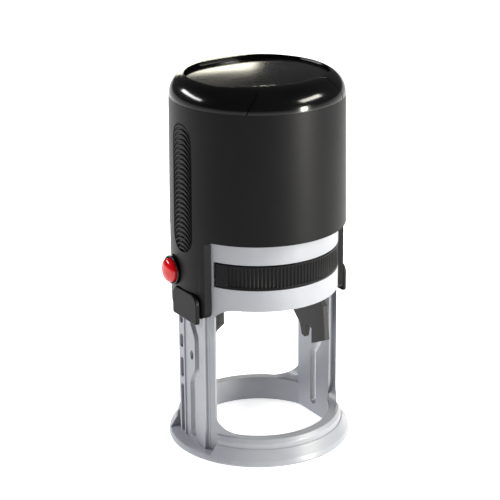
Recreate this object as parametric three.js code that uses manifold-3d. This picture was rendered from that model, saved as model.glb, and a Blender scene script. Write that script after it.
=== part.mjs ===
// Round self-inking stamp: a base frame with two legs, a handle that slides down over it, a platen that turns
// over as it goes down, and an ink pad in a cassette that slides out between the frame's two bands.
// Millimetres, +Z up. The origin is on the stamp's axis, on the surface that it stands on.
// The front, where the cassette comes out, faces -Y. The release button is on the -X side.
import * as THREE from "three";
import { mergeVertices } from "three/addons/utils/BufferGeometryUtils.js";
import Module from "manifold-3d";

const wasm = await Module();
wasm.setup();

// ---------------------------------------------------------------- driving dimensions
const STROKE = 43; // how far the handle goes down
const GAP = 0.3; // clearance between neighbouring pieces
const BASE_RADIUS = 31;
const OPENING_RADIUS = 24; // the printing opening in the base
const FRAME_RADIUS = 26.65;
const FRAME_BORE = 24.4;
const LEG_INNER = 22.4; // flat inner face of each leg
const LEG_OUTER = 26.5; // flat outer face of each leg
const LEG_FLAT = 8.2; // half the width of that outer face
const SILL_TOP = 8.3; // lower edge of the front and back windows
const RIM_PLATE = 2; // the thin rim left outside each leg
const LOWER_BAND = [53.35, 60.5];
const FRAME_TOP = 76.9;
const CASSETTE_TOP = 69.2;
const SHELL_BORE = 27.0;
const SHELL_FOOT = 29.25; // outer radius at the handle's lower edge
const SHELL_HEAD = 28.75; // outer radius where the cap starts
const SKIRT = 76.3; // lower edge of the handle at front and back
const CAP_SEAM = 119.3;
const TOP = 126.9;
const ARM_FOOT = 49.5; // lower end of the handle's side arms
const ARM_SPAN = [-10.7, 12.2]; // a side arm reaches further back, round the button
const COVER_SPAN = [-9.2, 6.0];
const DIE_REACH = 7.8; // from the platen's axle to the face of the die
const AXLE_HEIGHT = STROKE + DIE_REACH; // so that the die reaches the paper at full stroke
const AXLE_RADIUS = 1.2;
const YOKE_ARM = [20.9, 22.1]; // the yoke's arms run between the platen and the legs
const YOKE_ARM_HALF = 4.6;
const GRIP_FLOOR = 28.0; // radius of the floor of the grip recesses
const DIE_RADIUS = 19.8;
const BUTTON_Y = 6.3;
const BUTTON_Z = 62.2;
const BUTTON_TRAVEL = 2.2;
const SPRING_RADIUS = 14.5;
const SPRING_WIRE = 0.65; // radius of the return spring's wire
const ROUND = 48; // sides of a large circle
const SMALL_ROUND = 16; // sides of a small circle

// ---------------------------------------------------------------- colours and finishes
const FINISH = {
  greyPlastic: { color: 0xb9bcc2, roughness: 0.45, metalness: 0 },
  blackSatin: { color: 0x1c1c1f, roughness: 0.42, metalness: 0 },
  blackGloss: { color: 0x0b0b0c, roughness: 0.08, metalness: 0 },
  smokedClear: { color: 0x141416, roughness: 0.04, metalness: 0 },
  card: { color: 0x1a1a1c, roughness: 0.8, metalness: 0 },
  steel: { color: 0xb4b6ba, roughness: 0.3, metalness: 1 },
  felt: { color: 0x2a2230, roughness: 0.95, metalness: 0 },
  foam: { color: 0x50545a, roughness: 0.95, metalness: 0 },
  rubber: { color: 0x9a4f43, roughness: 0.6, metalness: 0 },
  redGloss: { color: 0xc8040e, roughness: 0.12, metalness: 0 },
};

// ---------------------------------------------------------------- making solids
// A closed geometry as a manifold solid, its faces turned outwards.
function solidOf(geometry) {
  const bare = geometry.clone();
  for (const name of Object.keys(bare.attributes)) {
    if (name !== "position") bare.deleteAttribute(name);
  }
  const merged = mergeVertices(bare, 1e-4);
  const vertProperties = merged.attributes.position.array;
  const triVerts = new Uint32Array(merged.index.array);
  const made = new wasm.Manifold(new wasm.Mesh({ numProp: 3, vertProperties, triVerts }));
  if (made.volume() > 0) return made;
  triVerts.reverse();
  return new wasm.Manifold(new wasm.Mesh({ numProp: 3, vertProperties, triVerts }));
}

// A profile of [radius, height] turned about the stamp's axis.
function turned(profile, sides = ROUND) {
  const points = profile.map(([r, z]) => new THREE.Vector2(r, z));
  return solidOf(new THREE.LatheGeometry(points, sides).rotateX(Math.PI / 2));
}

function tube(inner, outer, low, high, sides = ROUND) {
  return turned([[inner, low], [outer, low], [outer, high], [inner, high], [inner, low]], sides);
}

function block([x0, x1], [y0, y1], [z0, z1]) {
  const box = new THREE.BoxGeometry(x1 - x0, y1 - y0, z1 - z0);
  return solidOf(box.translate((x0 + x1) / 2, (y0 + y1) / 2, (z0 + z1) / 2));
}

// An outline of [a, b] points swept straight from one place to another along an axis.
// Along x the points are (y, z), along y they are (x, z), along z they are (x, y).
const SWEEP = {
  x: new THREE.Matrix4().set(0, 0, 1, 0, 1, 0, 0, 0, 0, 1, 0, 0, 0, 0, 0, 1),
  y: new THREE.Matrix4().set(1, 0, 0, 0, 0, 0, 1, 0, 0, 1, 0, 0, 0, 0, 0, 1),
  z: new THREE.Matrix4(),
};
function prism(outline, axis, from, to) {
  const shape = new THREE.Shape(outline.map(([a, b]) => new THREE.Vector2(a, b)));
  const swept = new THREE.ExtrudeGeometry(shape, { depth: to - from, bevelEnabled: false });
  return solidOf(swept.translate(0, 0, from).applyMatrix4(SWEEP[axis]));
}

function circle(radius, [a, b] = [0, 0], sides = SMALL_ROUND) {
  const points = [];
  for (let i = 0; i < sides; i += 1) {
    const turn = (2 * Math.PI * i) / sides;
    points.push([a + radius * Math.cos(turn), b + radius * Math.sin(turn)]);
  }
  return points;
}

// A rectangle whose corners are rounded: lower corners by one radius, upper corners by another.
function roundedBox([a0, a1], [b0, b1], lower, upper = lower, steps = 4) {
  const corners = [
    [a0 + lower, b0 + lower, lower, 2],
    [a1 - lower, b0 + lower, lower, 3],
    [a1 - upper, b1 - upper, upper, 0],
    [a0 + upper, b1 - upper, upper, 1],
  ];
  const points = [];
  for (const [a, b, radius, quarter] of corners) {
    for (let i = 0; i <= steps; i += 1) {
      const turn = ((quarter + i / steps) * Math.PI) / 2;
      points.push([a + radius * Math.cos(turn), b + radius * Math.sin(turn)]);
    }
  }
  return points;
}

function oval(halfX, halfY, sides = 36, power = 0.8) {
  const points = [];
  for (let i = 0; i < sides; i += 1) {
    const turn = (2 * Math.PI * i) / sides;
    const c = Math.cos(turn);
    const s = Math.sin(turn);
    points.push([
      halfX * Math.sign(c) * Math.abs(c) ** power,
      halfY * Math.sign(s) * Math.abs(s) ** power,
    ]);
  }
  return points;
}

const mirroredX = (points) => points.map(([x, y]) => [-x, y]).reverse();
const union = (solids) => solids.reduce((whole, next) => whole.add(next));
const cut = (solid, tools) => tools.reduce((left, tool) => left.subtract(tool), solid);

const stamp = new THREE.Group();

function piece(name, solid, finish) {
  const mesh = solid.getMesh();
  const geometry = new THREE.BufferGeometry();
  geometry.setAttribute("position", new THREE.BufferAttribute(new Float32Array(mesh.vertProperties), 3));
  geometry.setIndex(new THREE.BufferAttribute(new Uint32Array(mesh.triVerts), 1));
  geometry.computeVertexNormals();
  const made = new THREE.Mesh(geometry, new THREE.MeshStandardMaterial(finish));
  made.name = name;
  stamp.add(made);
}

// ---------------------------------------------------------------- base frame
// One grey moulding: base ring, two legs and the two bands that the cassette runs between.
const legPlan = [
  [LEG_INNER, -9.4], [25.0, -9.4], [LEG_OUTER, -LEG_FLAT],
  [LEG_OUTER, LEG_FLAT], [25.0, 9.4], [LEG_INNER, 9.4],
];

// The guide slot in each leg: straight, stepping forward between two heights and back again.
function slotOutline(width, low, high) {
  const centre = (z) => {
    const lower = THREE.MathUtils.smoothstep(z, 22.5, 29.5);
    const upper = 1 - THREE.MathUtils.smoothstep(z, 38.5, 46.5);
    return -3.4 * Math.min(lower, upper);
  };
  const front = [];
  const back = [];
  const steps = 16;
  for (let i = 0; i <= steps; i += 1) {
    const z = low + ((high - low) * i) / steps;
    const half = (width / 2) * Math.sqrt(Math.min(1, 0.3 + (z - low) / 1.6, 0.3 + (high - z) / 1.6));
    front.push([centre(z) - half, z]);
    back.push([centre(z) + half, z]);
  }
  return [...front, ...back.reverse()];
}

function baseFrame() {
  const sill = [24.9, SILL_TOP];
  const skirtProfile = [
    [25, 0], [BASE_RADIUS - 0.15, 0], [BASE_RADIUS, 0.5], [30.75, 1.6], [30.1, 2.9], [29.2, 4.1],
    [28.6, 4.8], [28.1, 5.1], [28.1, 7.0], [27.8, 7.8], [27.2, SILL_TOP], sill, [25, 0],
  ];
  const flare = cut(turned(skirtProfile), [
    block([24, 32], [-13.2, 13.2], [RIM_PLATE, 10]),
    block([-32, -24], [-13.2, 13.2], [RIM_PLATE, 10]),
  ]);
  const solids = [
    tube(FRAME_BORE, FRAME_RADIUS, 0, FRAME_TOP),
    tube(OPENING_RADIUS, FRAME_RADIUS - 0.5, 0, SILL_TOP),
    flare,
    prism(legPlan, "z", 0, FRAME_TOP),
    prism(mirroredX(legPlan), "z", 0, FRAME_TOP),
  ];
  const window = roundedBox([-24.15, 24.15], [SILL_TOP, LOWER_BAND[0]], 7, 4);
  const slot = slotOutline(3.5, 3.4, 51);
  const tools = [
    prism(window, "y", -40, -9.42),
    prism(window, "y", 9.42, 40),
    block([-24.15, 24.15], [-40, -9.42], [LOWER_BAND[1], CASSETTE_TOP]),
    block([-20.9, 20.9], [9.42, 40], [LOWER_BAND[1], CASSETTE_TOP]),
    prism(slot, "x", -32, 32),
    // The panel between the slot's front rail and the lock slots lies a little deeper.
    block([-32, -LEG_OUTER + 0.4], [-5.2, 4.6], [RIM_PLATE, 60]),
    block([LEG_OUTER - 0.4, 32], [-5.2, 4.6], [RIM_PLATE, 60]),
    // A running groove along the front rail of each leg.
    prism([[-26.8, -9.3], [-25.4, -9.0], [-25.4, -8.3], [-26.8, -8.1]], "z", RIM_PLATE, 60),
    prism([[26.8, -8.1], [25.4, -8.3], [25.4, -9.0], [26.8, -9.3]], "z", RIM_PLATE, 60),
    // A small moulding hole beside the step of the slot.
    prism(circle(1.1, [0.4, 33], 12), "x", -32, -24.5),
  ];
  // Lock slots for the release button's pin, the top one at the pin's height at rest.
  const lockSlots = [[3, 20.6], [23.2, 30.3], [33.9, 38.7], [42.7, 46.5], [60.7, 63.7]];
  for (const [low, high] of lockSlots) {
    const outline = roundedBox([BUTTON_Y - 1, BUTTON_Y + 1], [low, high], 0.9, 0.9, 3);
    tools.push(prism(outline, "x", -32, -23.6));
  }
  // Notches along the back edge of the leg with the button.
  for (const [low, high] of [[20.5, 23], [31, 34], [40, 42.5]]) {
    tools.push(block([-28, -25.4], [8.5, 12], [low, high]));
  }
  return cut(union(solids), tools);
}

// The plate that closes the frame's top: the return spring stands in its groove.
const DECK = [69.6, 71.5];
const SPRING_FLOOR = 70.6;
function springDeck() {
  const yokeSlot = (side) => block(
    side > 0 ? [YOKE_ARM[0] - GAP, 30] : [-30, -YOKE_ARM[0] + GAP],
    [-YOKE_ARM_HALF - GAP, YOKE_ARM_HALF + GAP],
    [DECK[0] - 1, DECK[1] + 1],
  );
  return cut(tube(5, FRAME_BORE - GAP, ...DECK), [
    block([LEG_INNER - GAP, 30], [-12, 12], [60, 80]),
    block([-30, -LEG_INNER + GAP], [-12, 12], [60, 80]),
    yokeSlot(1),
    yokeSlot(-1),
    tube(SPRING_RADIUS - 1.2, SPRING_RADIUS + 1.2, SPRING_FLOOR, 80, 32),
  ]);
}

// ---------------------------------------------------------------- ink pad cassette
const PAD_RADIUS = 19.9;
const PAD_FACE = 60.8;
function padCassette() {
  const low = LOWER_BAND[1] + GAP;
  const high = CASSETTE_TOP - GAP;
  const rim = tube(FRAME_BORE + 0.2, FRAME_RADIUS, low, high);
  const front = rim.intersect(block([-23.85, 23.85], [-30, -9.8], [50, 80]));
  const disc = turned([[0, low], [FRAME_RADIUS - 0.3, low], [FRAME_RADIUS - 0.3, high], [0, high], [0, low]]);
  const tray = disc.intersect(block([-20.6, 20.6], [-30, 30], [50, 80]));
  return cut(union([tray, front]), [
    turned([[0, 50], [PAD_RADIUS + GAP, 50], [PAD_RADIUS + GAP, 64.3], [0, 64.3], [0, 50]]),
    // The tray's top is hollowed to hold the ink.
    turned([[0, 65.6], [17, 65.6], [17, 80], [0, 80], [0, 65.6]]),
  ]);
}

function inkPad() {
  return turned([[0, PAD_FACE], [PAD_RADIUS, PAD_FACE], [PAD_RADIUS, 64], [0, 64], [0, PAD_FACE]]);
}

// ---------------------------------------------------------------- handle
// The dome's outline above the seam, as a quarter of an ellipse that ends in a nearly flat top.
const DOME_FLAT = 21.5;
function domeProfile(inset, floor) {
  const points = [[0, floor]];
  const steps = 6;
  for (let i = 0; i <= steps; i += 1) {
    const turn = ((Math.PI / 2) * i) / steps;
    points.push([
      DOME_FLAT + (SHELL_HEAD - DOME_FLAT - inset) * Math.cos(turn),
      CAP_SEAM + (TOP - CAP_SEAM - inset) * Math.sin(turn),
    ]);
  }
  return [[0, floor], [points[1][0], floor], ...points.slice(1), [0, TOP + 0.1 - inset], [0, floor]];
}

// Front and back, the handle's wall rises between the ears of the cap up to the window's edge.
function browPlan(spread) {
  return [
    [-18 - spread, CAP_SEAM - 4], [18 + spread, CAP_SEAM - 4], [18 + spread, CAP_SEAM],
    [15.6 + spread, 123.4], [13 + spread, 130], [-13 - spread, 130], [-15.6 - spread, 123.4],
    [-18 - spread, CAP_SEAM],
  ];
}
const BROW_EDGE = 19.9;

const UPSTAND = 27.6; // the lip that the cap fits over
const CROWN = [120.3, 121.5]; // the plate that closes the handle's bore
const CUP_BORE = 16.4; // the raised seat for the top of the spring
const CUP_CEILING = 122.6;
const clearLegs = [[18, -9.9], [25.3, -9.7], [26.8, -8.4], [26.8, 8.4], [25.3, 9.7], [18, 9.9]];

function handleShell() {
  const wall = turned([
    [0, SKIRT], [SHELL_FOOT - 0.3, SKIRT], [SHELL_FOOT, SKIRT + 0.4], [SHELL_HEAD, CAP_SEAM],
    [UPSTAND, CAP_SEAM], [UPSTAND, CROWN[1]], [17.5, CROWN[1]], [17.5, 123.4], [0, 123.4], [0, SKIRT],
  ]);
  const arm = (side) => {
    const column = turned([[0, ARM_FOOT], [SHELL_FOOT, ARM_FOOT], [SHELL_FOOT, 80], [0, 80], [0, ARM_FOOT]]);
    const outline = roundedBox(ARM_SPAN, [ARM_FOOT, 82], 2, 1, 4);
    return column.intersect(prism(outline, "x", side > 0 ? 15 : -32, side > 0 ? 32 : -15));
  };
  const dome = turned(domeProfile(0, CAP_SEAM - 2));
  const brow = (side) => dome.intersect(
    prism(browPlan(0), "y", side > 0 ? BROW_EDGE : -30, side > 0 ? 30 : -BROW_EDGE),
  );
  const solids = [wall, arm(1), arm(-1), brow(1), brow(-1)];
  const bore = turned([
    [0, 40], [SHELL_BORE, 40], [SHELL_BORE, CROWN[0]], [CUP_BORE, CROWN[0]],
    [CUP_BORE, CUP_CEILING], [0, CUP_CEILING], [0, 40],
  ]);
  const tools = [
    bore,
    prism(clearLegs, "z", 40, CROWN[0]),
    prism(mirroredX(clearLegs), "z", 40, CROWN[0]),
    prism(circle(5.1, [BUTTON_Y, BUTTON_Z]), "x", -32, -20),
  ];
  // Pockets for the axle covers and the holes that their pegs snap into.
  for (const side of [-1, 1]) {
    const pocket = roundedBox([COVER_SPAN[0] - GAP, COVER_SPAN[1] + GAP], [40, 57.5], 1, 3.3);
    tools.push(prism(pocket, "x", side > 0 ? 28.0 : -32, side > 0 ? 32 : -28.0));
    tools.push(prism(circle(2.0, [0, 53]), "x", side > 0 ? 24 : -32, side > 0 ? 32 : -24));
    // The recess of the grip on each side.
    const grip = roundedBox([-5.9, 5.9], [70.2, 113.3], 5.6, 5.6, 6);
    const sweep = prism(grip, "x", side > 0 ? 20 : -32, side > 0 ? 32 : -20);
    tools.push(sweep.intersect(tube(GRIP_FLOOR, 33, 60, 118)));
  }
  return cut(union(solids), tools).add(tube(11.5, 13, 115, CUP_CEILING + 0.4, 32));
}

function axleCover(side) {
  const face = roundedBox(COVER_SPAN, [47.5, 57.2], 0.8, 3.2);
  const plate = prism(face, "x", side > 0 ? 28.3 : -29.8, side > 0 ? 29.8 : -28.3);
  return plate.add(prism(circle(1.7, [0, 53]), "x", side > 0 ? 27.2 : -28.6, side > 0 ? 28.6 : -27.2));
}

// Two strips that fill the handle's side recesses and follow the round of its wall.
function gripStrip(side) {
  const outline = roundedBox([-5.6, 5.6], [70.5, 113], 5.3, 5.3, 6);
  const sweep = prism(outline, "x", side > 0 ? 20 : -32, side > 0 ? 32 : -20);
  return sweep.intersect(tube(GRIP_FLOOR + GAP, 28.7, 60, 118));
}

// The inner yoke hangs from the handle's crown and carries the platen's axle between the legs.
function driveYoke() {
  const round = tube(16.6, 24.0, 117.4, CROWN[0] - GAP, 32);
  const ring = round.intersect(block([-YOKE_ARM[1], YOKE_ARM[1]], [-30, 30], [100, 130]));
  const arm = (side) => {
    const outline = [
      [-3.2, AXLE_HEIGHT - 1.5], [-1.8, AXLE_HEIGHT - 3.4], [1.8, AXLE_HEIGHT - 3.4], [3.2, AXLE_HEIGHT - 1.5],
      [YOKE_ARM_HALF, AXLE_HEIGHT + 5], [YOKE_ARM_HALF, 119], [-YOKE_ARM_HALF, 119],
      [-YOKE_ARM_HALF, AXLE_HEIGHT + 5],
    ];
    return prism(outline, "x", side > 0 ? YOKE_ARM[0] : -YOKE_ARM[1], side > 0 ? YOKE_ARM[1] : -YOKE_ARM[0]);
  };
  const bore = prism(circle(AXLE_RADIUS + 0.1, [0, AXLE_HEIGHT], 24), "x", -30, 30);
  return union([ring, arm(1), arm(-1)]).subtract(bore);
}

function topCap() {
  const cavity = turned([
    [0, 100], [27.9, 100], [27.9, 121.8], [27.0, 122.6], [25.6, 123.2], [24.4, 123.2],
    [23.4, 122.6], [22.6, 121.9], [0, 121.9], [0, 100],
  ]);
  const tools = [
    cavity,
    prism(oval(23.5, 19.6), "z", 123.8, 140),
    prism(oval(22.0, 18.1), "z", 100, 140),
    prism(browPlan(GAP), "y", -30, -BROW_EDGE + GAP),
    prism(browPlan(GAP), "y", BROW_EDGE - GAP, 30),
  ];
  return cut(turned(domeProfile(0, CAP_SEAM)), tools);
}

function indexWindow() {
  return prism(oval(23.2, 19.3), "z", 124.1, 125.5);
}

function indexCard() {
  return prism(oval(21.7, 17.8), "z", 123.65, 123.85);
}

// ---------------------------------------------------------------- platen, which turns over about the axle
const above = (height) => AXLE_HEIGHT + height;

function disc(radius, low, high, sides = ROUND) {
  return turned([[0, low], [radius, low], [radius, high], [0, high], [0, low]], sides);
}

function platenCradle() {
  const hub = prism([[-3, 1.4], [-3, -1.4], [-1.6, -2.8], [1.6, -2.8], [3, -1.4], [3, 1.4]]
    .map(([y, z]) => [y, above(z)]), "x", -20.5, 20.5);
  const web = disc(18.4, above(0.4), above(1.7), 48);
  // Two cheeks, each with a long finger and a short one: one reaches forward, the other backward.
  const cheekOutline = [
    [0.4, above(1.6)], [-15.5, above(0.2)], [-18.4, above(-3)], [-19.7, above(-14.6)], [-17.5, above(-15.6)],
    [-11.6, above(-18.4)], [-11.6, above(-13)], [-8.4, above(-12.6)], [-7.4, above(-17.4)],
    [-5.6, above(-17.0)], [-4.6, above(-13.4)], [0.4, above(-9)],
  ];
  const cheek = (side) => prism(
    cheekOutline.map(([y, z]) => [side * y, z]),
    "x", side > 0 ? 13.8 : -15.6, side > 0 ? 15.6 : -13.8,
  );
  const bore = prism(circle(AXLE_RADIUS + GAP, [0, AXLE_HEIGHT]), "x", -30, 30);
  return union([hub, web, cheek(1), cheek(-1)]).subtract(bore);
}

function platenDisc() {
  return cut(disc(20.4, above(2.0), above(5.0)), [disc(DIE_RADIUS + 0.2, above(4.0), above(9))]);
}

function rubberDie() {
  const sheet = disc(DIE_RADIUS, above(5.7), above(7.1));
  return union([
    sheet,
    tube(17.9, 19.2, above(6.9), above(DIE_REACH)),
    tube(10.2, 11.2, above(6.9), above(DIE_REACH), 32),
    block([-7.5, 7.5], [-2.2, 2.2], [above(6.9), above(DIE_REACH)]),
  ]);
}

// ---------------------------------------------------------------- springs and release button
class Coil extends THREE.Curve {
  constructor(radius, turns, low, high) {
    super();
    Object.assign(this, { radius, turns, low, high });
  }
  getPoint(t, target = new THREE.Vector3()) {
    const turn = 2 * Math.PI * this.turns * t;
    const height = this.low + (this.high - this.low) * t;
    return target.set(this.radius * Math.cos(turn), this.radius * Math.sin(turn), height);
  }
}

function coil(radius, turns, wire, low, high, stepsPerTurn, sides) {
  const path = new Coil(radius, turns, low + wire, high - wire);
  const section = new THREE.Shape(circle(wire, [0, 0], sides).map(([a, b]) => new THREE.Vector2(a, b)));
  const steps = Math.round(turns * stepsPerTurn);
  return new THREE.ExtrudeGeometry(section, { steps, extrudePath: path, bevelEnabled: false });
}

// A solid turned about the button's own axis: its profile is [radius, distance from the stamp's axis].
function turnedOnButton(profile, sides = 24) {
  const points = profile.map(([r, x]) => new THREE.Vector2(r, x));
  const geometry = new THREE.LatheGeometry(points, sides).rotateZ(Math.PI / 2);
  return solidOf(geometry.translate(0, BUTTON_Y, BUTTON_Z));
}

const COLLAR_FACE = 30.2;
const FLANGE = [27.15, 27.6];
function buttonCollar() {
  return turnedOnButton([
    [1.3, FLANGE[0]], [4.85, FLANGE[0]], [4.85, COLLAR_FACE - 0.3], [4.6, COLLAR_FACE],
    [4.35, COLLAR_FACE], [4.35, FLANGE[1]], [1.3, FLANGE[1]], [1.3, FLANGE[0]],
  ]);
}

const BUTTON_RADIUS = 4.05;
const BUTTON_BACK = FLANGE[1] + BUTTON_TRAVEL + 0.2;
const BUTTON_TIP = 32.5;
const BUTTON_CEILING = 31.2;
function releaseButton() {
  const profile = [[2.7, BUTTON_BACK], [BUTTON_RADIUS, BUTTON_BACK]];
  const shoulder = 30.6;
  const steps = 5;
  for (let i = 0; i <= steps; i += 1) {
    const turn = ((Math.PI / 2) * i) / steps;
    profile.push([BUTTON_RADIUS * Math.cos(turn), shoulder + (BUTTON_TIP - shoulder) * Math.sin(turn)]);
  }
  profile[profile.length - 1][0] = 0;
  return turnedOnButton([...profile, [0, BUTTON_CEILING], [2.7, BUTTON_CEILING], [2.7, BUTTON_BACK]]);
}

function lockPin() {
  const tip = BUTTON_CEILING - GAP;
  return turnedOnButton([[0, 26.95], [0.75, 26.95], [0.75, tip], [0, tip], [0, 26.95]], 12);
}

// The button's spring, drawn at the length that it has when the button is pressed home.
function buttonSpring() {
  return turnedOnButton([[1.5, 27.8], [2.3, 27.8], [2.3, 28.8], [1.5, 28.8], [1.5, 27.8]], 16);
}

// ---------------------------------------------------------------- the assembly
piece("base_frame", baseFrame(), FINISH.greyPlastic);
piece("spring_deck", springDeck(), FINISH.greyPlastic);
piece("pad_cassette", padCassette(), FINISH.blackSatin);
piece("ink_pad", inkPad(), FINISH.felt);
piece("handle_shell", handleShell(), FINISH.blackSatin);
piece("top_cap", topCap(), FINISH.blackGloss);
piece("index_window", indexWindow(), FINISH.smokedClear);
piece("index_card", indexCard(), FINISH.card);
piece("drive_yoke", driveYoke(), FINISH.blackSatin);
piece("platen_cradle", platenCradle(), FINISH.blackSatin);
piece("platen_disc", platenDisc(), FINISH.blackSatin);
piece("foam_cushion", disc(19.6, above(4.3), above(5.4)), FINISH.foam);
piece("rubber_die", rubberDie(), FINISH.rubber);
piece("platen_axle", prism(circle(AXLE_RADIUS, [0, AXLE_HEIGHT], 24), "x", -22, 22), FINISH.steel);
piece("button_collar", buttonCollar(), FINISH.blackGloss);
piece("release_button", releaseButton(), FINISH.redGloss);
piece("lock_pin", lockPin(), FINISH.steel);
piece("button_spring", buttonSpring(), FINISH.steel);
for (const [name, side] of [["left", -1], ["right", 1]]) {
  piece(`${name}_axle_cover`, axleCover(side), FINISH.blackSatin);
  piece(`${name}_grip_strip`, gripStrip(side), FINISH.blackSatin);
}
const returnSpring = coil(SPRING_RADIUS, 6, SPRING_WIRE, SPRING_FLOOR + 0.2, CUP_CEILING - 0.2, 12, 5);
piece("return_spring", solidOf(returnSpring), FINISH.steel);

export default stamp;
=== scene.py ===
# %% [markdown]
# # A round self-inking stamp
# A self-inking stamp is a grey base frame with two legs, a black handle that slides down over it, and
# between them a rubber die that rests upside down under an ink pad. Pressing the handle turns the die
# over and sets it down on the paper.
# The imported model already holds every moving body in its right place. This notebook dresses it: it
# builds each visible piece again with smooth curves and softened edges, and gives each its material.
# Every length is written in millimetres and turned to Blender's metres by one factor.

# %% Load the frame
from math import acos, cos, pi, radians, sin, sqrt, tan, tau

import bmesh
import bpy
from mathutils import Matrix, Vector


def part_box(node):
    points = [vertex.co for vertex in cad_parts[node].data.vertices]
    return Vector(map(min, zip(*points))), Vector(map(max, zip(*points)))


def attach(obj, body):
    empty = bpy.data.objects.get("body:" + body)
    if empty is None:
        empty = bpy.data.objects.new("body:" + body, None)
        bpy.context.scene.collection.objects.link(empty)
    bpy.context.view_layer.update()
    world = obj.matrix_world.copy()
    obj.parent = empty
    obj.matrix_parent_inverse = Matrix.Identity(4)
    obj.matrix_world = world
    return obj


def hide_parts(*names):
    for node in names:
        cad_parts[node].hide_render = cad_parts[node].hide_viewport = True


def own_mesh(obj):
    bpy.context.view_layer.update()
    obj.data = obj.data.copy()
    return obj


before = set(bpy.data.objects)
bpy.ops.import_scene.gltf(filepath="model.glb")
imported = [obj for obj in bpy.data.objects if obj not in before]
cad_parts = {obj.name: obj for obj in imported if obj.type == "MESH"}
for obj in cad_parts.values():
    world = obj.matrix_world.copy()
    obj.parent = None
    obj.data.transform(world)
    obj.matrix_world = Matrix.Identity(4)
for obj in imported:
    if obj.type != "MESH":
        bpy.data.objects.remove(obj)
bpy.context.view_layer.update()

MM = 0.001

# %% [markdown]
# ## Making shapes
# Nearly everything here is either turned about the stamp's axis or an outline swept straight, so two
# small functions make those two kinds of solid. Blender could also do it with its Screw modifier and
# with text-book extrusions, but points that are computed are easier to keep in step with the frame.

# %% Outlines with rounded corners
def rounded(corners, steps=6):
    """A closed outline from (a, b) or (a, b, radius) corners: a corner with a radius becomes an arc."""
    points = []
    count = len(corners)
    for i, corner in enumerate(corners):
        here = Vector(corner[:2])
        if len(corner) == 2:
            points.append(tuple(here))
            continue
        back = (Vector(corners[i - 1][:2]) - here).normalized()
        on = (Vector(corners[(i + 1) % count][:2]) - here).normalized()
        half = acos(max(-1, min(1, back.dot(on)))) / 2
        reach = corner[2] / tan(half)
        centre = here + (back + on).normalized() * corner[2] / sin(half)
        start = here + back * reach - centre
        turn = start.angle_signed(here + on * reach - centre)
        for k in range(steps + 1):
            a = -turn * k / steps
            x, y = start
            points.append((centre.x + x * cos(a) - y * sin(a), centre.y + x * sin(a) + y * cos(a)))
    return points


def circle(radius, centre=(0, 0), sides=48):
    return [(centre[0] + radius * cos(tau * k / sides), centre[1] + radius * sin(tau * k / sides))
            for k in range(sides)]


def oblong(a0, a1, b0, b1, radius, upper=None, steps=8):
    """A rectangle with rounded corners; its upper corners may have their own radius."""
    top = radius if upper is None else upper
    return rounded([(a0, b0, radius), (a1, b0, radius), (a1, b1, top), (a0, b1, top)], steps)


print("a rounded square has", len(oblong(-1, 1, -1, 1, 0.3)), "points")


# %% Solids from outlines
def as_object(name, bm):
    bmesh.ops.recalc_face_normals(bm, faces=bm.faces)
    mesh = bpy.data.meshes.new(name)
    bm.to_mesh(mesh)
    bm.free()
    obj = bpy.data.objects.new(name, mesh)
    bpy.context.scene.collection.objects.link(obj)
    return obj


def turned(name, profile, steps=160):
    """A closed profile of (radius, height) spun about the stamp's axis."""
    bm = bmesh.new()
    on_axis = {i: bm.verts.new((0, 0, z * MM)) for i, (r, z) in enumerate(profile) if r < 1e-6}
    rings = []
    for k in range(steps):
        a = tau * k / steps
        rings.append([on_axis.get(i) or bm.verts.new((r * sin(a) * MM, -r * cos(a) * MM, z * MM))
                      for i, (r, z) in enumerate(profile)])
    for k in range(steps):
        ring, following = rings[k], rings[(k + 1) % steps]
        for i in range(len(profile)):
            j = (i + 1) % len(profile)
            corners = dict.fromkeys([ring[i], following[i], following[j], ring[j]])
            if len(corners) > 2:
                bm.faces.new(list(corners))
    return as_object(name, bm)


def swept(name, outline, axis, low, high):
    """An outline swept straight. Along x its points are (y, z), along y (x, z), along z (x, y)."""
    place = {"x": lambda a, b, t: (t, a, b),
             "y": lambda a, b, t: (a, t, b),
             "z": lambda a, b, t: (a, b, t)}[axis]
    bm = bmesh.new()
    ends = [[bm.verts.new(Vector(place(a, b, t)) * MM) for a, b in outline] for t in (low, high)]
    bm.faces.new(ends[0])
    bm.faces.new(ends[1])
    for i in range(len(outline)):
        j = (i + 1) % len(outline)
        bm.faces.new([ends[0][i], ends[0][j], ends[1][j], ends[1][i]])
    return as_object(name, bm)


def box(x0, x1, y0, y1, z0, z1):
    return swept("box", [(x0, y0), (x1, y0), (x1, y1), (x0, y1)], "z", z0, z1)


# %% Joining, cutting and softening
def settle(obj):
    """Applies the object's modifiers to its mesh."""
    graph = bpy.context.evaluated_depsgraph_get()
    mesh = bpy.data.meshes.new_from_object(obj.evaluated_get(graph))
    obj.modifiers.clear()
    obj.data = mesh
    return obj


def combine(obj, how, *tools):
    """Joins, cuts or intersects obj with each tool, which is used up."""
    for tool in tools:
        change = obj.modifiers.new("combine", "BOOLEAN")
        change.operation = how
        change.solver = "EXACT"
        change.object = tool
        settle(obj)
        bpy.data.objects.remove(tool)
    return obj


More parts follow.
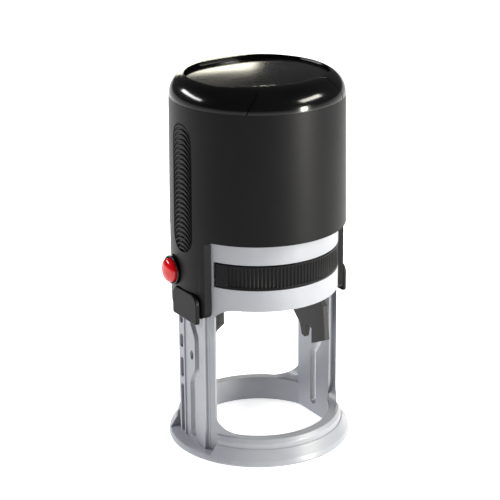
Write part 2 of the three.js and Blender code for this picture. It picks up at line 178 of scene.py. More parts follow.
def soften(obj, width, angle=35, segments=3):
    """Rounds every edge that is sharper than the angle, and shades the rest smooth."""
    bm = bmesh.new()
    bm.from_mesh(obj.data)
    bmesh.ops.remove_doubles(bm, verts=bm.verts, dist=0.004 * MM)
    bmesh.ops.dissolve_degenerate(bm, edges=bm.edges, dist=0.004 * MM)
    bm.to_mesh(obj.data)
    bm.free()
    if width:
        bevel = obj.modifiers.new("soften", "BEVEL")
        bevel.width = width * MM
        bevel.segments = segments
        bevel.limit_method = "ANGLE"
        bevel.angle_limit = radians(angle)
        bevel.miter_outer = "MITER_ARC"
        settle(obj)
    obj.data.shade_smooth()
    obj.data.set_sharp_from_angle(angle=radians(angle))
    weighted = obj.modifiers.new("even shading", "WEIGHTED_NORMAL")
    weighted.keep_sharp = True
    return settle(obj)


# %% [markdown]
# ## Materials
# The stamp is almost all injection-moulded ABS. Where the mould was spark-eroded the surface is satin,
# and where it was polished the surface is glossy. All the plastics share one recipe: a colour that
# drifts a little, as pigment does along the flow of the melt, a roughness that varies, and a fine
# grain in the surface. Each recipe is written out in real millimetres.

# %% Colours and shader nodes
def linear(code, alpha=1.0):
    """An sRGB hex colour as the linear one that shaders take."""
    channels = [int(code[i:i + 2], 16) / 255 for i in (1, 3, 5)]
    return (*[c / 12.92 if c <= 0.04045 else ((c + 0.055) / 1.055) ** 2.4 for c in channels], alpha)


def add(tree, kind, settings=None, links=None):
    """Adds one shader node, gives its inputs and properties their settings, and links its inputs."""
    made = tree.nodes.new(kind)
    for name, value in (settings or {}).items():
        if name in made.inputs:
            made.inputs[name].default_value = value
        else:
            setattr(made, name, value)
    for name, socket in (links or {}).items():
        tree.links.new(socket, made.inputs[name])
    return made


GRAIN_DEPTH = 0.05


def surface(name, colours, roughness, drift_mm=18, grain_mm=0.4, grain=0.06, stretch=(1, 1, 1), **shader):
    """A material whose colour drifts between two, with a varying roughness and a fine grain."""
    material = bpy.data.materials.new(name)
    material.use_nodes = True
    tree = material.node_tree
    tree.nodes.clear()
    where = add(tree, "ShaderNodeTexCoord").outputs["Object"]
    where = add(tree, "ShaderNodeMapping", {"Scale": stretch}, {"Vector": where}).outputs[0]
    drift = add(tree, "ShaderNodeTexNoise", {"Scale": 1 / (drift_mm * MM), "Detail": 3.0},
                {"Vector": where})
    colour = add(tree, "ShaderNodeValToRGB", None, {"Fac": drift.outputs[0]})
    colour.color_ramp.elements[0].color = linear(colours[0])
    colour.color_ramp.elements[0].position = 0.35
    colour.color_ramp.elements[1].color = linear(colours[1])
    colour.color_ramp.elements[1].position = 0.68
    fine = add(tree, "ShaderNodeTexNoise", {"Scale": 1 / (grain_mm * MM), "Detail": 2.0},
               {"Vector": where})
    patchy = add(tree, "ShaderNodeMapRange", {"To Min": roughness[0], "To Max": roughness[1]},
                 {"Value": fine.outputs[0]})
    bump = add(tree, "ShaderNodeBump", {"Strength": grain, "Distance": GRAIN_DEPTH * MM},
               {"Height": fine.outputs[0]})
    shading = add(tree, "ShaderNodeBsdfPrincipled", shader, {
        "Base Color": colour.outputs[0], "Roughness": patchy.outputs[0], "Normal": bump.outputs[0]})
    add(tree, "ShaderNodeOutputMaterial", None, {"Surface": shading.outputs[0]})
    return material


# %% [markdown]
# ### The finishes
# ABS has an index of refraction of about 1.54. The handle's satin black comes from a fine
# spark-eroded mould; the cap and the button were moulded against polished steel, so they mirror the
# lamps; the frame is a light cool grey with a low sheen. Spring wire is drawn steel, a metal with fine
# lines along it. A real moulded grain is about 0.05 mm, too fine to show, so it is drawn at 0.4 mm.
# A perfectly clean black would mirror as much as its index says. Moulding texture, wear and handling
# scatter part of that, which a lower Specular IOR Level stands for on the three blacks.

# %% The finishes
ABS_IOR, ACRYLIC_IOR, NYLON_IOR, RUBBER_IOR = 1.54, 1.49, 1.53, 1.52
FINISH = {
    # Pigmented ABS from a fine-sanded mould: even grey faces with a broad, low sheen on the edges.
    "grey_abs": surface("moulded_abs_light_grey", ("#90939B", "#9A9CA3"), (0.30, 0.40), IOR=ABS_IOR),
    # ABS from a spark-eroded mould: a deep black whose highlights spread into soft grey columns.
    "black_satin_abs": surface("spark_eroded_abs_black", ("#08080A", "#0C0C0F"), (0.36, 0.46),
                               grain=0.08, **{"IOR": ABS_IOR, "Specular IOR Level": 0.11}),
    # ABS from a polished mould: the cap's black, which shows the lamps as narrow bright lines.
    "black_gloss_abs": surface("polished_abs_black", ("#050506", "#080809"), (0.12, 0.16), grain_mm=3,
                               grain=0.01, **{"IOR": ABS_IOR, "Specular IOR Level": 0.33}),
    # Cast acrylic, dyed nearly black: a smooth pane that mirrors a lamp behind it as one pale patch.
    "smoked_acrylic": surface("polished_smoked_acrylic", ("#070708", "#0B0B0C"), (0.12, 0.16),
                              grain_mm=9, grain=0.0, IOR=ACRYLIC_IOR),
    # Moulded nylon for the sliding parts: a duller, slightly greyer black than the handle's.
    "black_inner_nylon": surface("moulded_nylon_black", ("#0E0E10", "#151517"), (0.42, 0.55),
                                 grain=0.15, **{"IOR": NYLON_IOR, "Specular IOR Level": 0.3}),
    # ABS from a polished mould: a saturated red with one small sharp highlight on its lens.
    "red_gloss_abs": surface("polished_abs_red", ("#B80008", "#D0020C"), (0.06, 0.10), grain_mm=3,
                             grain=0.02, IOR=ABS_IOR),
    # Drawn wire and ground pins: bright metal, its grain stretched along the length.
    "spring_steel": surface("drawn_spring_steel", ("#A9ABAE", "#C2C3C5"), (0.22, 0.34), drift_mm=4,
                            grain_mm=0.15, stretch=(1, 1, 6), Metallic=1.0),
    # Wool felt soaked in ink: almost black, with a violet cast and a rough, fibrous nap.
    "ink_felt": surface("inked_wool_felt", ("#0C0A12", "#1C1826"), (0.75, 0.95), drift_mm=1.2,
                        grain_mm=0.25, grain=0.9),
    # Expanded closed-cell foam: a matt mid grey, mottled by its cells.
    "cushion_foam": surface("closed_cell_foam", ("#3E4247", "#565B61"), (0.8, 0.95), drift_mm=1.5,
                            grain_mm=0.3, grain=0.8),
    # Laser-engraved natural rubber: brick red, dull, with a slightly rough skin.
    "die_rubber": surface("engraved_rubber", ("#7E3427", "#94432F"), (0.5, 0.62), drift_mm=6,
                          grain_mm=0.3, grain=0.25, IOR=RUBBER_IOR),
    # Dyed card: flat black with faint paper fibres, so the pane above it stays dark.
    "index_card_stock": surface("matt_black_card", ("#141415", "#1E1E20"), (0.7, 0.85), drift_mm=2,
                                grain_mm=0.2, grain=0.4),
}
print("finishes:", ", ".join(sorted(m.name for m in FINISH.values())))


# %% Putting a piece on its body
def fit(obj, body, slot, *stands_for):
    """Gives a finished piece its material and its body, and hides the CAD nodes that it stands for."""
    obj.data.materials.clear()
    obj.data.materials.append(FINISH[slot])
    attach(obj, body)
    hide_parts(*stands_for)
    spread = [[v.co[i] for v in obj.data.vertices] for i in range(3)]
    size = [round((max(along) - min(along)) / MM, 1) for along in spread]
    print(f"{obj.name}: {len(obj.data.polygons)} faces, {size} mm, on {body}")
    return obj


# %% [markdown]
# ## The base frame
# One grey moulding holds everything: a flared ring that stands on the paper, two flat-sided legs, and
# two bands that the ink pad's cassette slides between. It is built the way its mould is cut, by
# turning the ring and the wall, adding the legs, and then cutting windows, slots and grooves.
# Its legs and its height are read off the frame; the smaller features are this moulding's own sizes.

# %% Sizes of the base frame
low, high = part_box("base_frame")
BASE_RADIUS = high.x / MM
FRAME_TOP = high.z / MM
OPENING_RADIUS, FRAME_BORE, FRAME_RADIUS = 24.0, 24.4, 26.65
LEG_INNER, LEG_OUTER, LEG_FLAT = 22.4, 26.5, 8.2
SILL, RIM_PLATE = 8.3, 2.0
BAND_LOW, BAND_HIGH, CASSETTE_TOP = 53.35, 60.5, 69.2
LEG_SIDE, LEG_EDGE = 9.42, 9.4
WINDOW_HALF, REAR_OPENING_HALF = 24.15, 20.9
print(f"base ring {2 * BASE_RADIUS:.1f} mm across, frame {FRAME_TOP:.1f} mm tall")


# %% Turning the ring and the wall, adding the legs
def ring(name, inner, outer, z0, z1):
    return turned(name, [(inner, z0), (outer, z0), (outer, z1), (inner, z1)])


leg_plan = rounded([(LEG_INNER, -LEG_EDGE), (25.0, -LEG_EDGE, 0.6), (LEG_OUTER, -LEG_FLAT, 0.5),
                    (LEG_OUTER, LEG_FLAT, 0.5), (25.0, LEG_EDGE, 0.6), (LEG_INNER, LEG_EDGE)], 4)
flare_profile = rounded([
    (25.5, 0), (30.85, 0, 0.1), (BASE_RADIUS, 0.55, 0.3), (30.6, 2.0, 3.0), (29.0, 4.5, 4.0),
    (28.55, 5.15, 0.15), (28.1, 5.2, 0.1), (28.1, 7.0, 1.2), (27.2, SILL, 0.5), (25.5, SILL),
], 5)
base = ring("base_frame_moulding", FRAME_BORE, FRAME_RADIUS, 0, FRAME_TOP)
flare = turned("flare", flare_profile)
for side in (-1, 1):
    x0, x1 = sorted((side * 24, side * 33))
    combine(flare, "DIFFERENCE", box(x0, x1, -13.2, 13.2, RIM_PLATE, 12))
combine(base, "UNION", flare, ring("foot", OPENING_RADIUS, 26.0, 0, SILL))
for side in (-1, 1):
    plan = [(side * x, y) for x, y in leg_plan]
    combine(base, "UNION", swept("leg", plan, "z", 0, FRAME_TOP))
print("ring, wall and legs joined:", len(base.data.polygons), "faces")

# %% Cutting the windows and the cassette's opening
window = rounded([(-WINDOW_HALF, SILL, 7), (WINDOW_HALF, SILL, 7),
                  (WINDOW_HALF, BAND_LOW, 4.5), (-WINDOW_HALF, BAND_LOW, 4.5)], 12)
for y0, y1 in ((-40, -LEG_SIDE), (LEG_SIDE, 40)):
    combine(base, "DIFFERENCE", swept("window", window, "y", y0, y1))
combine(base, "DIFFERENCE", box(-WINDOW_HALF, WINDOW_HALF, -40, -LEG_SIDE, BAND_HIGH, CASSETTE_TOP),
        box(-REAR_OPENING_HALF, REAR_OPENING_HALF, LEG_SIDE, 40, BAND_HIGH, CASSETTE_TOP))
print("windows and cassette opening cut:", len(base.data.polygons), "faces")


# %% [markdown]
# Each leg has a guide slot that steps forward halfway up: in the real stamp a pin of the platen runs
# in it, and the step is what throws the platen over. A smooth step is a smoothstep curve, the same one
# that eases animations. Beside it the leg with the button has a row of slots for the lock pin.

# %% Slots, rails and notches of the legs
def smooth(x):
    x = max(0.0, min(1.0, x))
    return x * x * (3 - 2 * x)


def slot_centre(z):
    return -3.4 * min(smooth((z - 22.5) / 7), 1 - smooth((z - 38.5) / 8))


def guide_slot(width, low, high, steps=90):
    front, back = [], []
    for k in range(steps + 1):
        z = low + (high - low) * k / steps
        end = min(z - low, high - z) / (width / 2)
        half = width / 2 * sqrt(max(0.02, 1 - max(0.0, 1 - end) ** 2))
        front.append((slot_centre(z) - half, z))
        back.append((slot_centre(z) + half, z))
    return front + back[::-1]


PAST_LEG = 32
combine(base, "DIFFERENCE", swept("slot", guide_slot(3.5, 3.4, 51), "x", -PAST_LEG, PAST_LEG))
for side in (-1, 1):
    x0, x1 = sorted((side * (LEG_OUTER - 0.4), side * PAST_LEG))
    panel = oblong(-5.2, 4.6, RIM_PLATE + 0.3, 60, 0.8, 0.3)
    combine(base, "DIFFERENCE", swept("panel", panel, "x", x0, x1))
    groove = [(side * x, y) for x, y in ((26.8, -9.3), (25.4, -9.0), (25.4, -8.3), (26.8, -8.1))]
    combine(base, "DIFFERENCE", swept("groove", groove, "z", RIM_PLATE, 60))
BUTTON_Y = 6.3
for z0, z1 in ((3, 20.6), (23.2, 30.3), (33.9, 38.7), (42.7, 46.5), (60.7, 63.7)):
    lock_slot = oblong(BUTTON_Y - 1, BUTTON_Y + 1, z0, z1, 0.9)
    combine(base, "DIFFERENCE", swept("lock_slot", lock_slot, "x", -PAST_LEG, -23.6))
for z0, z1 in ((20.5, 23), (31, 34), (40, 42.5)):
    combine(base, "DIFFERENCE", box(-28, -25.4, 8.5, 12, z0, z1))
oval_hole = [(0.4 + 1.0 * cos(t / 8 * pi), 33 + 1.7 * sin(t / 8 * pi)) for t in range(16)]
combine(base, "DIFFERENCE", swept("hole", oval_hole, "x", -PAST_LEG, -24.5))
fit(soften(base, 0.22), "frame", "grey_abs", "base_frame")

# %% [markdown]
# ## The ink pad's cassette
# Its front is the ribbed black edge between the two grey bands. The ribs are fine, about 1.3 mm
# apart, with a smooth border above and below. Instead of modelling a bar for each rib, the front wall
# is a grid whose radius rises and falls with the angle: that is one clean sheet of quads.

# %% The cassette
RIB_PITCH = 1.28
RIBBED_HALF, FRONT_HALF, BACK_HALF = 0.95, 1.105, 0.83  # angles in radians
PAD_RADIUS = 19.9


def ribbed_wall(name, start, end, inner, outer, z0, z1, depth=0.35, border=0.7):
    """An arc of wall, angles measured from the front (-Y), whose outer face is ribbed."""
    bm = bmesh.new()
    steps = round((end - start) * outer / RIB_PITCH * 10)
    middle = (start + end) / 2
    heights = [(z0, -0.25), (z0 + 0.25, 0), (z0 + border, 0), (z0 + border + 0.15, 1),
               (z1 - border - 0.15, 1), (z1 - border, 0), (z1 - 0.25, 0), (z1, -0.25)]
    columns = []
    for k in range(steps + 1):
        a = start + (end - start) * k / steps
        wave = 0.5 + 0.5 * cos(tau * (a - middle) * outer / RIB_PITCH)
        if abs(a - middle) > min(RIBBED_HALF, (end - start) / 2 - 0.08):
            wave = 1
        column = [bm.verts.new((inner * sin(a) * MM, -inner * cos(a) * MM, z * MM)) for z in (z1, z0)]
        for z, ribs in heights:
            r = outer + (ribs if ribs < 0 else -depth * ribs * (1 - wave))
            column.append(bm.verts.new((r * sin(a) * MM, -r * cos(a) * MM, z * MM)))
        columns.append(column)
    for one, two in zip(columns, columns[1:]):
        for i in range(len(one)):
            j = (i + 1) % len(one)
            bm.faces.new([one[i], two[i], two[j], one[j]])
    bm.faces.new(columns[0])
    bm.faces.new(columns[-1][::-1])
    return as_object(name, bm)


low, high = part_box("pad_cassette")
z0, z1 = low.z / MM, high.z / MM
tray = combine(turned("tray", [(0, z0), (25.4, z0), (25.4, z1), (0, z1)]), "INTERSECT",
               box(-20.6, 20.6, -30, 30, 50, 80))
pad_recess = [(0, 50), (PAD_RADIUS + 0.3, 50), (PAD_RADIUS + 0.3, 64.3), (0, 64.3)]
combine(tray, "DIFFERENCE", turned("pad_recess", pad_recess),
        turned("ink_well", rounded([(0, 65.6), (17, 65.6, 0.6), (17, 80), (0, 80)], 4)))
soften(tray, 0.2)
fit(tray, "pad", "black_satin_abs", "pad_cassette")
front_edge = ribbed_wall("cassette_front", -FRONT_HALF, FRONT_HALF, 24.7, FRAME_RADIUS - 0.02, z0, z1)
back_edge = ribbed_wall("cassette_back", pi - BACK_HALF, pi + BACK_HALF, 24.9, FRAME_RADIUS - 0.3, z0, z1)
for edge in (front_edge, back_edge):
    edge.data.shade_smooth()
    edge.data.set_sharp_from_angle(angle=radians(40))
    fit(edge, "pad", "black_satin_abs")

# %% [markdown]
# ## The handle
# The handle is a deep cup, 58 mm across, with a slight draft so that it leaves its mould, and two arms
# that reach down past the frame's bands. The cap fits over a lip at its top, and between the ears of
# the cap the wall itself rises up to the window. A circle turned on a lathe and then cut gives the
# arms and the skirt one continuous surface, so the light runs over them without a seam.

# %% Sizes of the handle
ARM_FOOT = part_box("handle_shell")[0].z / MM
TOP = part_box("top_cap")[1].z / MM - 0.01
SKIRT, SEAM, SHELL_FOOT, SHELL_HEAD, DOME_FLAT = 76.3, 119.3, 29.25, 28.75, 21.5
UPSTAND, CROWN_TOP, SHELL_BORE, CROWN_UNDER = 27.6, 121.5, 27.0, 120.3
BROW_EDGE, ARM_FRONT, ARM_REAR = 19.9, -10.7, 12.2
COVER = (-9.2, 6.0)
GRIP_HALF, GRIP_SPAN, GRIP_PITCH, GRIP_FLOOR = 5.6, (70.3, 113.2), 1.64, 28.0
print(f"the arms end {ARM_FOOT:.1f} mm above the paper, the cap {TOP:.1f} mm")


def dome(steps=20):
    """The rounding of the head from the seam to the flat top, a quarter of an ellipse."""
    return [(DOME_FLAT + (SHELL_HEAD - DOME_FLAT) * cos(pi / 2 * k / steps),
             SEAM + (TOP - 0.1 - SEAM) * sin(pi / 2 * k / steps)) for k in range(steps + 1)]


def brow(name, spread, y0, y1):
    """The block between the cap's ears at the front or the back, a little wider at its foot."""
    half = [(18 + spread, SEAM - 6), (18 + spread, SEAM), (17.2 + spread, 121.4), (15.4 + spread, 123.6),
            (13.4 + spread, 125.8), (12.6 + spread, 131)]
    return swept(name, half + [(-x, z) for x, z in half[::-1]], "y", y0, y1)


# %% The shell
shell = turned("handle_moulding", [(0, ARM_FOOT), (SHELL_FOOT, ARM_FOOT), (SHELL_FOOT, SKIRT)]
               + dome() + [(0, TOP)], 200)
cap_room = turned("cap_room", [(UPSTAND, SEAM), (40, SEAM), (40, 140), (0, 140), (0, 123.4), (17.5, 123.4),
                               (17.5, CROWN_TOP), (UPSTAND, CROWN_TOP)])
combine(cap_room, "DIFFERENCE", brow("brow", 0, -32, -BROW_EDGE), brow("brow", 0, BROW_EDGE, 32))
combine(shell, "DIFFERENCE", cap_room)
arms = rounded([(ARM_FRONT, ARM_FOOT, 2), (ARM_REAR, ARM_FOOT, 2), (ARM_REAR, SKIRT, 1.2),
                (40, SKIRT), (40, 40), (-40, 40), (-40, SKIRT), (ARM_FRONT, SKIRT, 1.2)], 6)
combine(shell, "DIFFERENCE", swept("below_skirt", arms, "x", -40, 40))
bore = [(0, 30), (SHELL_BORE, 30), (SHELL_BORE, CROWN_UNDER), (0, CROWN_UNDER)]
combine(shell, "DIFFERENCE", turned("bore", bore))
half_leg_room = ((18, 9.9), (25.3, 9.7), (26.8, 8.4))
leg_room = [(x, -y) for x, y in half_leg_room] + list(half_leg_room[::-1])
cover_pocket = oblong(COVER[0] - 0.25, COVER[1] + 0.25, 40, 57.5, 1, 3.3)
grip_recess = oblong(-GRIP_HALF - 0.2, GRIP_HALF + 0.2, *GRIP_SPAN, GRIP_HALF, steps=14)
for side in (-1, 1):
    plan = [(side * x, y) for x, y in leg_room]
    combine(shell, "DIFFERENCE", swept("leg_room", plan, "z", 30, CROWN_UNDER))
    x0, x1 = sorted((side * 28.0, side * 33))
    combine(shell, "DIFFERENCE", swept("cover_pocket", cover_pocket, "x", x0, x1))
    x0, x1 = sorted((side * 28.2, side * 33))
    recess = swept("grip_recess", grip_recess, "x", x0, x1)
    combine(shell, "DIFFERENCE", combine(recess, "INTERSECT", ring("behind_grip", GRIP_FLOOR, 33, 60, 118)))
BUTTON_Z = 62.2
combine(shell, "DIFFERENCE", swept("collar_hole", circle(5.1, (BUTTON_Y, BUTTON_Z)), "x", -33, -20))
shell = fit(soften(shell, 0.28), "handle", "black_satin_abs", "handle_shell")
# The two brows between the cap's ears were polished with the cap, so their faces take its gloss.
shell.data.materials.append(FINISH["black_gloss_abs"])
for face in shell.data.polygons:
    if face.center.z > (SEAM - 0.5) * MM and abs(face.center.y) > (BROW_EDGE - 8) * MM:
        face.material_index = 1

# %% [markdown]
# ## The grips
# On each side the thumb finds a strip of stacked arcs, each a groove about 0.5 mm deep, 1.64 mm above
# the last. The strip lies in a recess and follows the round of the wall. A height field gives it: a
# grid wrapped on the wall, narrowed to round ends, whose radius dips wherever a groove passes.

# %% The grip strips
def wall_radius(z):
    """The drafted wall of the handle, widest at its skirt and narrowest at the cap's seam."""
    return SHELL_FOOT + (SHELL_HEAD - SHELL_FOOT) * max(0, z - SKIRT) / (SEAM - SKIRT)


def grip_strip(side, depth=0.65, per_pitch=12, columns=48):
    """One strip of arcs as a grid wrapped on the wall, closed at the back inside its recess."""
    bm = bmesh.new()
    strip_back = 28.1
    z_low, z_high = GRIP_SPAN[0] + 0.2, GRIP_SPAN[1] - 0.2
    rows = round((z_high - z_low) / GRIP_PITCH * per_pitch)
    sheet = []
    for i in range(rows + 1):
        z = z_low + (z_high - z_low) * i / rows
        end = min(1, min(z - z_low, z_high - z) / GRIP_HALF)
        half = max(0.4, GRIP_HALF * sqrt(1 - (1 - end) ** 2))
        line = []
        for k in range(columns + 1):
            y = half * (2 * k / columns - 1)
            phase = (z - sqrt(GRIP_HALF ** 2 * 1.1 - y * y)) / GRIP_PITCH % 1
            edge = min(1, (half - abs(y)) / 0.35)
            groove = smooth((0.34 - abs(phase - 0.5)) / 0.18) * edge
            r = wall_radius(z) - 0.08 - depth * groove - 0.12 * (1 - edge)
            line.append(bm.verts.new((side * sqrt(r * r - y * y) * MM, y * MM, z * MM)))
        sheet.append(line)
    for one, two in zip(sheet, sheet[1:]):
        for k in range(columns):
            bm.faces.new([one[k], one[k + 1], two[k + 1], two[k]])
    solid = bmesh.ops.extrude_face_region(bm, geom=bm.faces[:])
    for v in solid["geom"]:
        if isinstance(v, bmesh.types.BMVert):
            out = sqrt(strip_back ** 2 - (v.co.y / MM) ** 2)
            v.co.x = side * min(out, abs(v.co.x) / MM - 0.05) * MM
    return as_object(("left" if side < 0 else "right") + "_grip_arcs", bm)


for side in (-1, 1):
    strip = grip_strip(side)
    strip.data.shade_smooth()
    strip.data.set_sharp_from_angle(angle=radians(60))
    fit(strip, "handle", "black_satin_abs", ("left" if side < 0 else "right") + "_grip_strip")

# %% [markdown]
# ## Small covers and the release button
# A clipped cover closes each arm where the axle is put in. Above it, on one side, sits the red button
# that locks the handle down while the pad is changed. It is a shallow lens in a black collar, both
# turned about an axis that points sideways, so they are made upright and then laid over.

# %% Axle covers
AXLE_Z, COVER_FACE = 53, 29.8
for side, name in ((-1, "left_axle_cover"), (1, "right_axle_cover")):
    plan = oblong(*COVER, 47.5, 57.2, 0.8, 3.2, steps=8)
    x0, x1 = sorted((side * 28.3, side * COVER_FACE))
    cover = swept(name + "_moulding", plan, "x", x0, x1)
    x0, x1 = sorted((side * 27.2, side * 28.6))
    combine(cover, "UNION", swept("peg", circle(1.7, (0, AXLE_Z)), "x", x0, x1))
    fit(soften(cover, 0.45, segments=4), "handle", "black_satin_abs", name)


# %% Pieces about the button's axis
def sideways(name, profile, steps=72):
    """A profile of (radius, distance from the stamp's axis), turned about the button's axis."""
    obj = turned(name, profile, steps)
    for v in obj.data.vertices:
        x, y, z = v.co
        v.co = (-z, y + BUTTON_Y * MM, x + BUTTON_Z * MM)
    return obj


collar_top = -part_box("button_collar")[0].x / MM
low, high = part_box("release_button")
button_tip = -low.x / MM
BUTTON_RADIUS = (high.z - low.z) / MM / 2
COLLAR_BACK, COLLAR_FLOOR = 27.15, 27.6
BUTTON_BACK, LENS_EDGE, BUTTON_CEILING = 30.0, 30.6, 31.2
collar = sideways("button_collar_ring", rounded([
    (1.3, COLLAR_BACK), (4.85, COLLAR_BACK), (4.85, collar_top, 0.3), (4.35, collar_top, 0.12),
    (4.35, COLLAR_FLOOR), (1.3, COLLAR_FLOOR)], 4))
collar.data.shade_smooth()
collar.data.set_sharp_from_angle(angle=radians(40))
fit(collar, "handle", "black_gloss_abs", "button_collar")
lens = [(BUTTON_RADIUS * cos(pi / 2 * k / 20), LENS_EDGE + (button_tip - LENS_EDGE) * sin(pi / 2 * k / 20))
        for k in range(20)]
button = sideways("release_button_lens", [(2.7, BUTTON_BACK), (BUTTON_RADIUS, BUTTON_BACK)] + lens
                  + [(0, button_tip), (0, BUTTON_CEILING), (2.7, BUTTON_CEILING)])
button.data.shade_smooth()
button.data.set_sharp_from_angle(angle=radians(40))
fit(button, "button", "red_gloss_abs", "release_button")

# %% [markdown]
# ## The cap and its window
# The cap is the polished dome with two ears, open between them at the front and the back, where the
# handle's own brows rise. Over its middle sits an oval smoked pane that covers the index card. A
# superellipse makes the oval a little fuller than an ellipse, and a rise of 0.7 mm gives the pane
# the gentle crown that makes its reflection fade towards the edge.

# %% The cap and its window
def oval(half_x, half_y, power=0.8, sides=120):
    """A superellipse; a power below 1 makes it fuller than an ellipse."""
    points = []
    for k in range(sides):
        c, s = cos(tau * k / sides), sin(tau * k / sides)
        points.append((half_x * abs(c) ** power * (1 if c > 0 else -1),
                       half_y * abs(s) ** power * (1 if s > 0 else -1)))
    return points


SEAM_GAP = 0.05
cap = turned("top_cap_moulding", [(0, SEAM + SEAM_GAP)] + [(r, z + SEAM_GAP) for r, z in dome()]
             + [(0, TOP)], 200)
cavity = [(0, 100), (27.9, 100), (27.9, 121.8), (27.0, 122.6), (25.6, 123.2), (24.4, 123.2), (23.4, 122.6),
          (22.6, 121.9), (0, 121.9)]
combine(cap, "DIFFERENCE", turned("cavity", cavity), swept("window_seat", oval(23.45, 19.55), "z", 123.8, 140),
        swept("window_hole", oval(22.0, 18.1), "z", 100, 140),
        brow("brow_room", 0.3, -32, -BROW_EDGE + 0.3), brow("brow_room", 0.3, BROW_EDGE - 0.3, 32))
fit(soften(cap, 0.25), "handle", "black_gloss_abs", "top_cap")
low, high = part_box("index_window")
PANE_RISE = 0.7


def domed_pane(rings=24):
    """An oval pane whose top rises gently towards its middle."""
    bm = bmesh.new()
    z0, z1 = low.z / MM, high.z / MM
    levels = [(0.04 + 0.945 * k / rings, z1 + PANE_RISE * (1 - (k / rings) ** 2)) for k in range(rings + 1)]
    levels += [(0.996, z1 - 0.1), (1, z1 - 0.3), (1, z0 + 0.2), (0.99, z0), (0.04, z0)]
    loops = [[bm.verts.new(Vector((x, y, z)) * MM) for x, y in oval(high.x / MM * s, high.y / MM * s)]
             for s, z in levels]
    for one, two in zip(loops, loops[1:]):
        for k in range(len(one)):
            j = (k + 1) % len(one)
            bm.faces.new([one[k], one[j], two[j], two[k]])
    bm.faces.new(loops[0])
    bm.faces.new(loops[-1][::-1])
    return as_object("index_pane", bm)


fit(soften(domed_pane(), 0), "window", "smoked_acrylic", "index_window")

# %% [markdown]
# ## Inside the stamp
# The platen is a round tray on an axle between the legs. At rest it hangs upside down, so the rubber
# die looks up at the ink pad. The yoke brings the axle down with the handle, and the long spring lifts
# both again. Round pieces are turned; the rest take the frame's own solids and soften their edges.

# %% Softening one of the frame's solids
def softened(node, body, slot, width=0.2, segments=3):
    """A copy of the frame's solid with its flat faces merged and its edges rounded."""
    source = bpy.data.objects[node]
    obj = bpy.data.objects.new(node + "_moulding", source.data.copy())
    bpy.context.scene.collection.objects.link(obj)
    bm = bmesh.new()
    bm.from_mesh(obj.data)
    bmesh.ops.remove_doubles(bm, verts=bm.verts, dist=0.002 * MM)
    bmesh.ops.dissolve_limit(bm, angle_limit=radians(2), verts=bm.verts, edges=bm.edges)
    bm.to_mesh(obj.data)
    bm.free()
    return fit(soften(obj, width, segments=segments), body, slot, node)


softened("platen_cradle", "platen", "black_inner_nylon", 0.25)
softened("drive_yoke", "handle", "black_inner_nylon", 0.15)
softened("spring_deck", "frame", "grey_abs", 0.15)
softened("index_card", "handle", "index_card_stock", 0.03, 2)
softened("platen_axle", "platen", "spring_steel", 0.1)
softened("lock_pin", "button", "spring_steel", 0.1)


# %% The platen, its foam, the die and the pad
def disc(name, node, profile, body, slot):
    obj = turned(name, profile, 144)
    obj.data.shade_smooth()
    obj.data.set_sharp_from_angle(angle=radians(40))
    return fit(obj, body, slot, node)


disc("platen_tray", "platen_disc", rounded([
    (0, 52.8), (20.4, 52.8, 0.5), (20.4, 55.8, 0.15), (20.0, 55.8, 0.12), (20.0, 54.8), (0, 54.8)], 4),
    "platen", "black_inner_nylon")
foam = disc("foam_cushion_sheet", "foam_cushion", rounded([
    (0, 55.1), (19.6, 55.1, 0.3), (19.6, 56.2, 0.3), (0, 56.2)], 4), "platen", "cushion_foam")
felt = disc("ink_pad_felt", "ink_pad", rounded([
    (0, 60.8), (PAD_RADIUS, 60.8, 0.6), (PAD_RADIUS, 64.0, 0.3), (0, 64.0)], 5), "pad", "ink_felt")

# %% [markdown]
# The die is engraved rubber: a sheet with a raised design. Real ones carry somebody's text, so this
# one has only two rings and a plain bar, which any library can reuse. It is one turned profile, and
# the bar is joined to it.

# %% The rubber die
DIE_SHEET, DIE_FACE = 57.9, 58.6
die = turned("rubber_die_sheet", rounded([
    (0, 56.5), (19.8, 56.5), (19.8, DIE_SHEET, 0.1), (19.2, DIE_SHEET), (19.1, DIE_FACE, 0.08),
    (18.0, DIE_FACE, 0.08), (17.9, DIE_SHEET), (11.2, DIE_SHEET), (11.1, DIE_FACE, 0.08),
    (10.3, DIE_FACE, 0.08), (10.2, DIE_SHEET), (0, DIE_SHEET)], 3), 144)
combine(die, "UNION", swept("bar", oblong(-7.5, 7.5, -2.2, 2.2, 0.3), "z", 57.5, DIE_FACE))
fit(soften(die, 0.05, segments=2), "platen", "die_rubber", "rubber_die")


# %% [markdown]
# ## Springs
# A spring is a round wire along a helix. Its ends are closed coils, so the pitch flattens there. In the
# stamp the long one is squashed along its height as the handle comes down, and the small one behind the
# button as it is pressed; this script builds each at one length only.

# %% Springs
def spring(name, turns, radius, wire, low, high, place, coil_steps=48, sides=12):
    """A round wire of the given radius on a helix between two heights, with closed ends."""
    bm = bmesh.new()
    rings = []
    total = round(turns * coil_steps)
    for k in range(total + 1):
        t = k / total
        a = tau * turns * t
        rise = max(0, min(1, (t * turns - 0.7) / (turns - 1.4)))
        level = low + wire + (high - low - 2 * wire) * rise
        out = Vector((cos(a), sin(a), 0))
        ring_points = []
        for j in range(sides):
            b = tau * j / sides
            point = out * (radius + wire * cos(b)) + Vector((0, 0, level + wire * sin(b)))
            ring_points.append(bm.verts.new(place(point) * MM))
        rings.append(ring_points)
    for one, two in zip(rings, rings[1:]):
        for j in range(sides):
            bm.faces.new([one[j], one[(j + 1) % sides], two[(j + 1) % sides], two[j]])
    bm.faces.new(rings[0])
    bm.faces.new(rings[-1][::-1])
    obj = as_object(name, bm)
    obj.data.shade_smooth()
    return obj


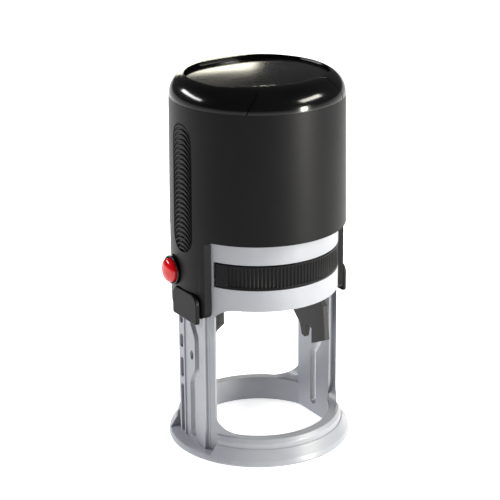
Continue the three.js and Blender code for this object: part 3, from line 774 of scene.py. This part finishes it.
SMALL_SPRING_SEAT = 27.8
low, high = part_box("return_spring")
long_spring = spring("return_spring_wire", 7, 14.5, 0.65, low.z / MM, high.z / MM, lambda p: p)
fit(long_spring, "frame", "spring_steel", "return_spring")
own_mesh(long_spring)
small_spring = spring("button_spring_wire", 5, 2.0, 0.2, SMALL_SPRING_SEAT, 30.9,
                      lambda p: Vector((-p.z, p.y + BUTTON_Y, p.x + BUTTON_Z)), 28, 8)
fit(small_spring, "handle", "spring_steel", "button_spring")
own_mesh(small_spring)

# %% [markdown]
# ## Camera and lights
# The camera stands to the left of the front, a little above, at the distance of a product shot, with
# a long lens. Five lamps light the stamp, as softboxes round a white table would:
# the overhead one fills the whole scene evenly and is left out of reflections, so it doesn't wash out
# the glossy top; the key at the right lights the bands and draws a line along the cap's shoulder;
# the upright column at the right draws the soft highlight down the satin wall; the strip behind on
# the left edges the cap; and the low window of light behind is what the pane mirrors.
# The floor is a white board with a faint glow of its own, which keeps it white where no lamp reaches.

# %% Camera
def aimed(obj, place, target):
    obj.location = Vector(place) * MM
    obj.rotation_euler = (Vector(target) - Vector(place)).to_track_quat("-Z", "Y").to_euler()


camera = bpy.data.objects.new("camera", bpy.data.cameras.new("camera"))
bpy.context.scene.collection.objects.link(camera)
bpy.context.scene.camera = camera
turn, pitch, yaw, roll = radians(-32.3), radians(19.59), radians(-0.35), radians(-0.45)
CAMERA_BACK, CAMERA_UP, SENSOR = 552.8, 261.9, 36
FOCAL_LENGTHS = 1757 / 500  # the lens, in widths of the sensor
camera.matrix_world = (Matrix.Rotation(turn, 4, "Z") @ Matrix.Translation((0, -CAMERA_BACK * MM, CAMERA_UP * MM))
                       @ Matrix.Rotation(-yaw, 4, "Z") @ Matrix.Rotation(pi / 2 - pitch, 4, "X")
                       @ Matrix.Rotation(roll, 4, "Z"))
camera.data.sensor_width = SENSOR
camera.data.lens = FOCAL_LENGTHS * SENSOR
camera.data.shift_x = 0.004
camera.data.clip_start = 0.01
print(f"camera with a {camera.data.lens:.0f} mm lens, {CAMERA_BACK:.0f} mm back and {CAMERA_UP:.0f} mm up")

# %% Floor, world and lamps
bm = bmesh.new()
bmesh.ops.create_grid(bm, x_segments=2, y_segments=2, size=15)
floor = as_object("floor", bm)
floor.location.z = -0.2 * MM
# Matt laminated board: an even white without a mirror image of the stamp.
white_board = surface("matt_white_board", ("#F6F6F6", "#FAFAFA"), (0.85, 0.95), drift_mm=400, grain=0.0,
                      **{"Emission Color": (1, 1, 1, 1), "Emission Strength": 0.6})
floor.data.materials.append(white_board)

world = bpy.data.worlds.new("studio")
bpy.context.scene.world = world
world.use_nodes = True
tree = world.node_tree
tree.nodes.clear()
ambient = add(tree, "ShaderNodeBackground", {"Color": (1, 1, 1, 1), "Strength": 0.08}).outputs[0]
add(tree, "ShaderNodeOutputWorld", None, {"Surface": ambient})


def softbox(name, place, target, width, height, power, colour="#FFFFFF", mirrored=True):
    """A rectangular area lamp aimed at a target, in millimetres and watts."""
    lamp = bpy.data.objects.new(name, bpy.data.lights.new(name, "AREA"))
    bpy.context.scene.collection.objects.link(lamp)
    lamp.data.shape = "RECTANGLE"
    lamp.data.size, lamp.data.size_y = width * MM, height * MM
    lamp.data.energy = power
    lamp.data.color = linear(colour)[:3]
    lamp.visible_camera = False
    lamp.visible_glossy = mirrored
    aimed(lamp, place, target)
    print(f"{name}: {width} x {height} mm, {power} W, {'mirrored' if mirrored else 'not mirrored'}")


softbox("overhead", (0, 0, 1300), (0, 0, 0), 900, 900, 10.0, mirrored=False)
softbox("key_right", (475, -443, 480), (0, 0, 120), 420, 140, 4.4, "#FFFCF0")
softbox("column_right", (305, -574, 95), (0, 0, 90), 90, 170, 4.0, "#FFFDF4")
softbox("strip_back_left", (-468, 452, 390), (0, 0, 120), 520, 85, 3.2)
softbox("window_back", (330, 762, 222), (0, 0, 125), 250, 190, 0.7, "#FFFDE8")
bpy.context.scene.view_settings.view_transform = "Standard"
